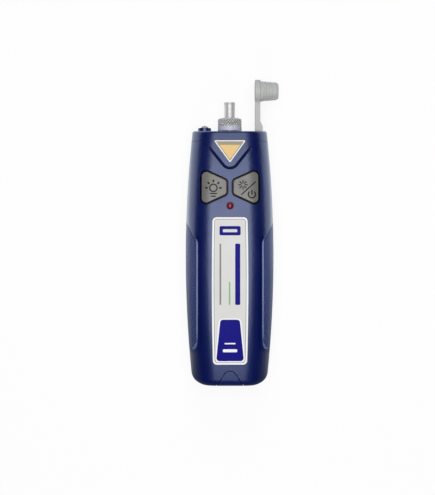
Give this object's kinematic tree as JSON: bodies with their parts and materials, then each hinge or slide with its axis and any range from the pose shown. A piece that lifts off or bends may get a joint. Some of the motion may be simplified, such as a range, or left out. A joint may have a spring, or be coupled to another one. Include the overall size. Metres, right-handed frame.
{
  "type": "visual fault locator",
  "caption": "Hand-held fibre-optic visual fault locator with a ferrule port, knurled coupling nut, torch lamp, strapped dust cap, push buttons and a sliding battery door.",
  "frame": {"origin": "centre of the body's length and width, on the flat back face it lies on", "axes": "+Y along the body toward the optical port, +Z out of the front face with the buttons, +X to the right seen from the front"},
  "size_m": [0.0452, 0.1481, 0.026],
  "materials": {
    "housing": "fine-grained moulded ABS",
    "grip": "coarse dimpled moulding",
    "label": "printed polyester plate",
    "inlay": "printed polyester plate",
    "button": "satin moulded keys",
    "red_lens": "tinted clear epoxy",
    "clear_lens": "clear epoxy",
    "nickel": "nickel plate",
    "zirconia": "ground zirconia",
    "brass": "turned",
    "steel": "zinc plate",
    "cap": "soft moulded elastomer",
    "board": "solder mask",
    "black_plastic": "moulded",
    "aluminium": "drawn can",
    "cell": "plain wrap"
  },
  "bodies": {
    "housing": {"front_shell": "housing", "rear_shell": "housing", "nose_cap": "housing", "left_grip": "grip", "right_grip": "grip", "label_plate": "label", "triangle_inlay": "inlay", "indicator_lamp": "red_lens", "lamp_spacer": "black_plastic", "torch_lamp": "clear_lens", "connector_collar": "nickel", "adapter_sleeve": "nickel", "split_sleeve": "zirconia", "ferrule_stub": "zirconia", "lock_nut": "nickel", "laser_barrel": "brass", "laser_diode": "steel", "strap_root": "cap", "circuit_board": "board", "torch_switch": "black_plastic", "laser_switch": "black_plastic", "driver_chip": "black_plastic", "supply_capacitor": "aluminium", "left_cell": "cell", "right_cell": "cell", "bridge_contact": "nickel", "positive_contact": "nickel", "negative_contact": "nickel", "tail_spring": "steel", "head_spring": "steel", "case_screws": "steel", "board_screws": "steel"},
    "torch_button": {"torch_button": "button"},
    "laser_button": {"laser_button": "button"},
    "battery_door": {"battery_door": "housing"},
    "coupling_nut": {"coupling_nut": "nickel"},
    "dust_cap": {"dust_cap": "cap"}
  },
  "joints": [
    {"name": "torch_button_press", "type": "slide", "parent": "housing", "child": "torch_button", "axis": [0, 0, -1], "range_m": [0, 0.0005], "stiffness_N_per_m": 300},
    {"name": "laser_button_press", "type": "slide", "parent": "housing", "child": "laser_button", "axis": [0, 0, -1], "range_m": [0, 0.0005], "stiffness_N_per_m": 300},
    {"name": "battery_door_slide", "type": "slide", "parent": "housing", "child": "battery_door", "axis": [0, -1, 0], "range_m": [0, 0.058]},
    {"name": "coupling_nut_turn", "type": "hinge", "parent": "housing", "child": "coupling_nut", "pos_m": [0, 0.06535, 0.01], "axis": [0, 1, 0], "continuous": true},
    {"name": "dust_cap_fold", "type": "hinge", "parent": "housing", "child": "dust_cap", "pos_m": [0.01232, 0.06848, 0.01], "axis": [0, 0, 1], "range_deg": [0, 90], "stiffness_Nm_per_rad": 0.01}
  ]
}
